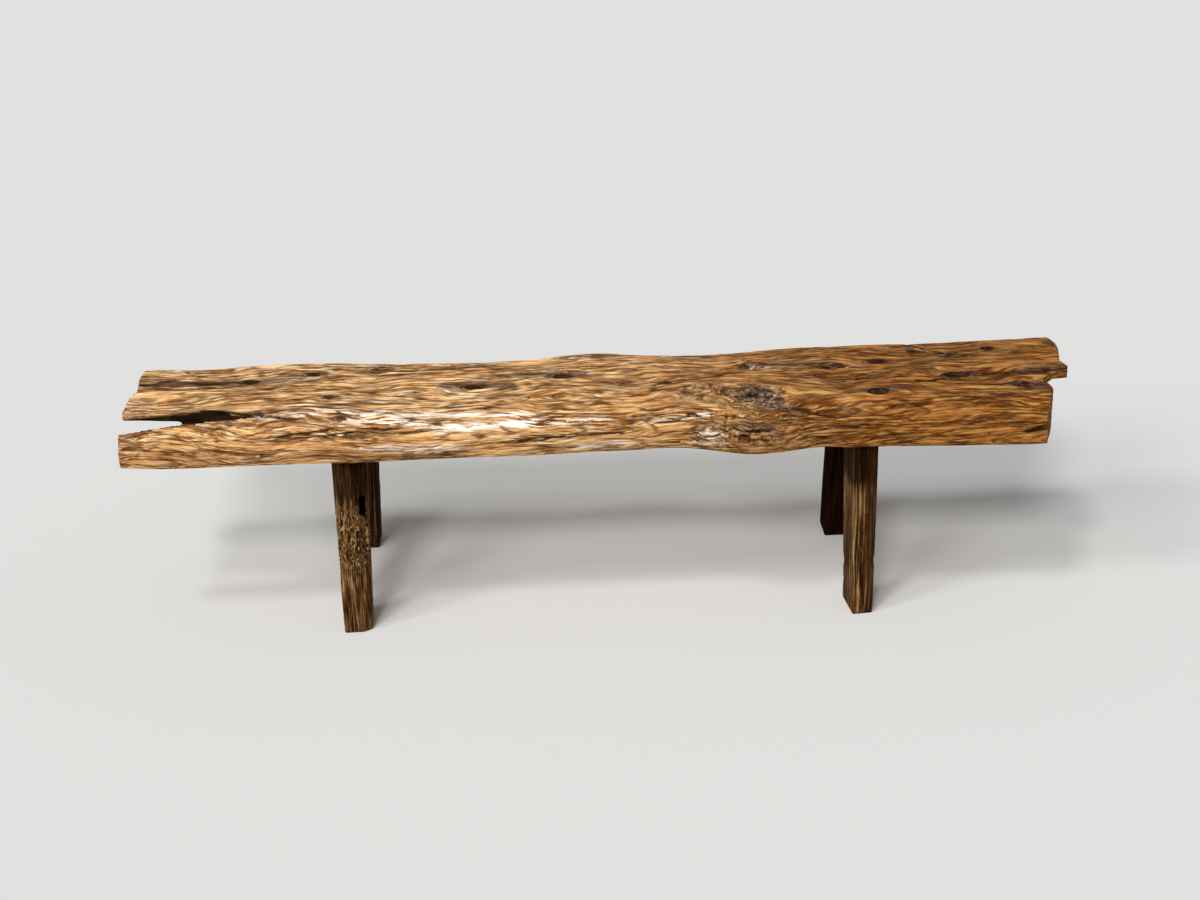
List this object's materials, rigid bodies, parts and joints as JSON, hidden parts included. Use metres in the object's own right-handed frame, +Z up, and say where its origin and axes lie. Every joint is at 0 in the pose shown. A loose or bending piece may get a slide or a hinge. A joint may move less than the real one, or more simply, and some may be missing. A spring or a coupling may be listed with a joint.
{
  "type": "rustic log bench",
  "caption": "Rustic bench: a thick natural-edged plank, split at one end, on splayed rectangular post legs tenoned and wedged into its underside.",
  "frame": {"origin": "on the floor under the middle of the bench's bounding box", "axes": "+X along the seat, towards the end with the broken finger (right, seen from the front); +Y to the back; +Z up"},
  "size_m": [1.87, 0.4553, 0.42],
  "materials": {
    "weathered_slab": "oiled, deeply weathered grain with dark rotted knots",
    "old_post": "dark aged wood, rough sawn, slight sheen",
    "dry_wedge": "dry split hardwood, unfinished"
  },
  "bodies": {
    "root": {"seat_slab": "weathered_slab", "front_left_leg": "old_post", "front_right_leg": "old_post", "back_left_leg": "old_post", "back_right_leg": "old_post", "front_left_wedge_left": "dry_wedge", "front_left_wedge_right": "dry_wedge", "front_right_wedge_left": "dry_wedge", "front_right_wedge_right": "dry_wedge", "back_left_wedge_left": "dry_wedge", "back_left_wedge_right": "dry_wedge", "back_right_wedge_left": "dry_wedge", "back_right_wedge_right": "dry_wedge"}
  },
  "joints": []
}
